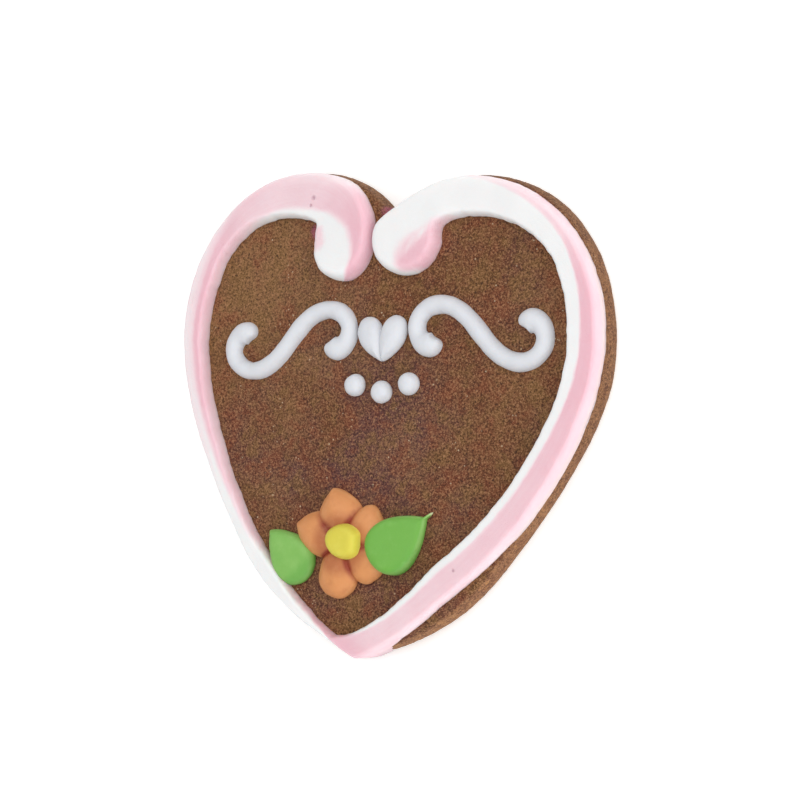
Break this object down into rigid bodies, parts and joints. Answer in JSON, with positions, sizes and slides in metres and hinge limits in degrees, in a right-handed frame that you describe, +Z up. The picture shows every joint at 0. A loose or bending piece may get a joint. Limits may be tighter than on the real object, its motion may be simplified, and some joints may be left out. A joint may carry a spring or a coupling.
{
  "type": "gingerbread heart",
  "caption": "Flat heart-shaped gingerbread cookie with a piped icing border, scroll ornament, flower and leaves.",
  "frame": {"origin": "middle of the footprint, on the surface the heart lies on, decorated side up", "axes": "+Z up out of the decorated side, +Y from the heart's tip to its two lobes, +X to the right seen from above"},
  "size_m": [0.12, 0.1182, 0.0141],
  "materials": {
    "gingerbread": "baked brown gingerbread, dry and matt, with a fine crumb",
    "icing_pink": "set sugar icing, pale pink streaked with white, satin",
    "icing_white": "set sugar icing, cool white, satin",
    "icing_yellow": "set sugar icing, lemon yellow, satin",
    "icing_orange": "set sugar icing, soft orange, satin",
    "icing_green": "set sugar icing, leaf green, satin"
  },
  "bodies": {
    "root": {"gingerbread": "gingerbread", "icing_border": "icing_pink", "scroll_left": "icing_white", "scroll_right": "icing_white", "piped_heart": "icing_white", "dot_1": "icing_white", "dot_2": "icing_white", "dot_3": "icing_white", "flower_centre": "icing_yellow", "petal_1": "icing_orange", "petal_2": "icing_orange", "petal_3": "icing_orange", "petal_4": "icing_orange", "petal_5": "icing_orange", "leaf_right": "icing_green", "leaf_left": "icing_green"}
  },
  "joints": []
}
